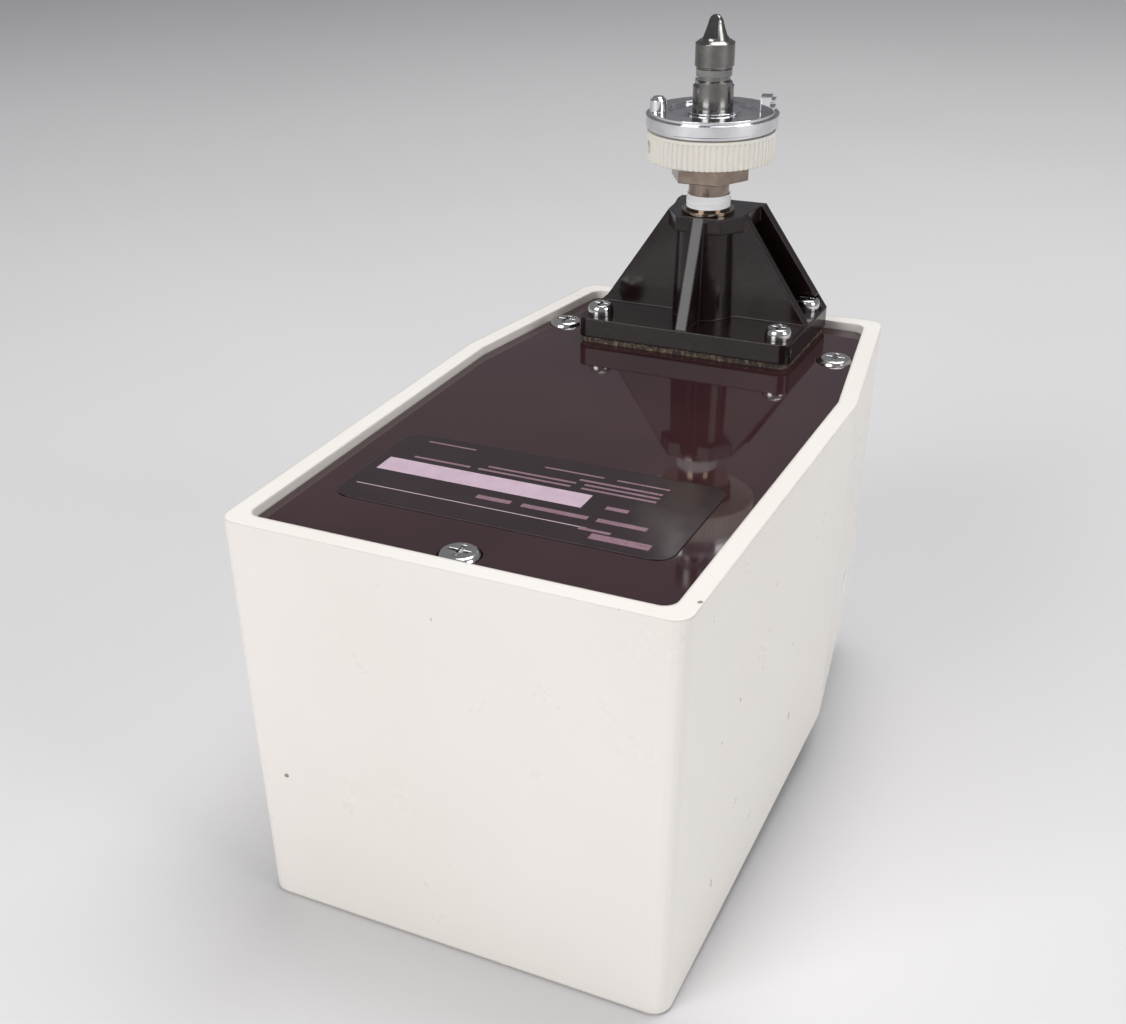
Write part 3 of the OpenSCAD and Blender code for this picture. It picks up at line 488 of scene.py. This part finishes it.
# %% Blank print
# Each row is x, distance from the wide end, width and height, in mm.
label_bars = [(-11.3, 41.6, 49, 6.4), (-9, 30.4, 54, 0.3)]
print_lines = [
    (26.5, 27.6, 13, 2.4), (20, 29.9, 7, 1.0), (24, 34.6, 11, 1.6), (9, 34.6, 15, 1.6),
    (-5, 34.6, 8, 1.6), (20.5, 40.5, 5, 1.5), (18, 47.0, 17, 0.8), (-4, 47.0, 22, 0.8),
    (-24, 47.0, 14, 0.8), (18, 48.9, 17, 0.8), (-3, 48.9, 21, 0.8), (17, 50.8, 19, 0.8),
    (21, 53.6, 12, 0.6), (5, 53.6, 14, 0.6), (-26, 55.6, 12, 0.6)]
for name, bars, ink in (("label_panel", label_bars, print_mat),
                        ("label_lines", print_lines, faint_mat)):
    sheet = bmesh.new()
    for x, from_wide_end, width, height in bars:
        bar_sheet(sheet, width, height, x, from_wide_end + wide_end, label_top + PRINT_LIFT)
    mark_piece(name, sheet, ink)

# %% [markdown]
# ## Marks on the dial
#
# The face that the unit lies on has a gauge. Its scale is a fan of short bars, every fifth
# one longer. Each bar is made at the dial's centre, moved out and then turned, so one angle
# step places them all.

# %% Dial scale
ticks = bmesh.new()
tick_count, first_angle, tick_step = 31, 45, 9
short_tick = {"width": 0.35, "height": 1.8, "y": 22.7}
long_tick = {"width": 0.7, "height": 3.2, "y": 22}
for i in range(tick_count):
    corners = bar_sheet(ticks, **(long_tick if i % 5 == 0 else short_tick))
    turned = Matrix.Rotation(math.radians(first_angle) + math.radians(tick_step * i), 3, "Z")
    bmesh.ops.rotate(ticks, matrix=turned, verts=corners)
bmesh.ops.translate(ticks, verts=ticks.verts,
                    vec=(0, gauge_y * MM, (dial_low[2] - PRINT_LIFT) * MM))
mark_piece("dial_scale", ticks, mark_mat)

# %% [markdown]
# ## Dots on the control panel
#
# The panel has an arc of dots beside the control knob, growing towards "more", and three
# equal dots for the selector's stops. Both arcs are centred on their knob's own box.

# %% Panel dots
dots = bmesh.new()
panel_face = box_mm("front_panel")[0][2]
for knob, angles, reach, first_radius, growth in (
        ("control_knob", range(120, 250, 18), 19.2, 0.35, 0.16),
        ("mode_knob", (210, 270, 330), 17.6, 0.8, 0.0)):
    low, high = box_mm(knob)
    for i, angle in enumerate(angles):
        radius = first_radius + growth * i
        rim = bmesh.ops.create_circle(dots, cap_ends=True, segments=20, radius=radius * MM)
        a = math.radians(angle)
        bmesh.ops.translate(dots, verts=rim["verts"], vec=(
            (middle(low, high, 0) + reach * math.cos(a)) * MM,
            (middle(low, high, 1) + reach * math.sin(a)) * MM,
            (panel_face - PRINT_LIFT) * MM))
mark_piece("panel_dots", dots, pale_mat)

# %% [markdown]
# ## Range spring
#
# Turning the control knob screws a cup along its spindle, and the cup squeezes a coil spring
# against the diaphragm. A spin that also climbs a little at every step sweeps a small circle
# into a helix, which is exactly a coil spring.

# %% Spring
spring_low, spring_high = box_mm("range_spring")
cup_low, cup_high = box_mm("spring_cup")
spring_x, spring_y = middle(cup_low, cup_high, 0), middle(cup_low, cup_high, 1)
wire, coil_radius, coils, steps = 1.3, 6.5, 4, 96
end_gap = 0.05
length = spring_high[2] - spring_low[2] - 2 * end_gap
coil = bmesh.new()
section = bmesh.ops.create_circle(coil, segments=10, radius=wire / 2 * MM)["verts"]
bmesh.ops.rotate(coil, matrix=Matrix.Rotation(math.radians(90), 3, "X"), verts=section)
bmesh.ops.translate(coil, verts=section, vec=(
    coil_radius * MM, 0, (spring_low[2] + end_gap + wire / 2) * MM))
bmesh.ops.spin(coil, geom=coil.verts[:] + coil.edges[:], cent=(0, 0, 0), axis=(0, 0, 1),
               dvec=(0, 0, (length - wire) / steps * MM),
               angle=math.radians(360 * coils), steps=steps)
bmesh.ops.holes_fill(coil, edges=[e for e in coil.edges if e.is_boundary], sides=0)
bmesh.ops.translate(coil, vec=(spring_x * MM, spring_y * MM, 0), verts=coil.verts)
spring = new_object("coil_spring", coil, 40)
spring.data.materials.append(steel_mat)
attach(spring, "case")
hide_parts("range_spring")
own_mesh(spring)
print("spring", round(length, 2), "mm long")

# %% [markdown]
# ## Light
#
# Three large soft lamps and a dim world: a big one above, one at the front left so the
# wide end reads clearly, and a weak one at the right. Metal and polished plastic show what
# is around them, so the world also holds the soft grey that they mirror.

# %% Lamps and world
def lamp(name, place, target, size, power):
    data = bpy.data.lights.new(name, "AREA")
    data.shape, data.size, data.energy = "SQUARE", size, power
    obj = bpy.data.objects.new(name, data)
    obj.location = place
    obj.rotation_euler = (Vector(target) - Vector(place)).to_track_quat("-Z", "Y").to_euler()
    bpy.context.scene.collection.objects.link(obj)

lamp("top_lamp", (0.15, 0.35, 1.3), (0, 0, 0.1), 0.8, 12)
lamp("front_lamp", (-0.45, -1.15, 0.7), (0, 0, 0.06), 0.75, 10.5)
lamp("side_lamp", (1.2, -0.2, 0.55), (0, 0, 0.08), 0.6, 5)
world = bpy.data.worlds.new("studio")
world.use_nodes = True
world.node_tree.nodes["Background"].inputs["Color"].default_value = (0.93, 0.94, 1.0, 1)
world.node_tree.nodes["Background"].inputs["Strength"].default_value = 0.25
bpy.context.scene.world = world
bpy.context.scene.view_settings.view_transform = "Standard"
print("3 lamps")

# %% [markdown]
# ## Floor paper
#
# The sweep is matt grey paper, with the faintest cloudiness. From below it is see-through,
# so the control face can be looked at from underneath: a mix shader shows the transparent
# side wherever a ray meets the back of a face.

# %% Floor paper
floor_mat, tree, shader, where = new_material("pale floor")
paper = two_tones(tree, noise(tree, where, 3, 2), (0.66, 0.65, 0.65), (0.69, 0.68, 0.68))
tree.links.new(paper, shader.inputs["Base Color"])
shader.inputs["Roughness"].default_value = 0.7
side = tree.nodes.new("ShaderNodeNewGeometry")
clear = tree.nodes.new("ShaderNodeBsdfTransparent")
one_sided = tree.nodes.new("ShaderNodeMixShader")
tree.links.new(side.outputs["Backfacing"], one_sided.inputs["Fac"])
tree.links.new(shader.outputs["BSDF"], one_sided.inputs[1])
tree.links.new(clear.outputs["BSDF"], one_sided.inputs[2])
tree.links.new(one_sided.outputs["Shader"], tree.nodes["Material Output"].inputs["Surface"])
floor.data.materials.append(floor_mat)
print("made", floor_mat.name)
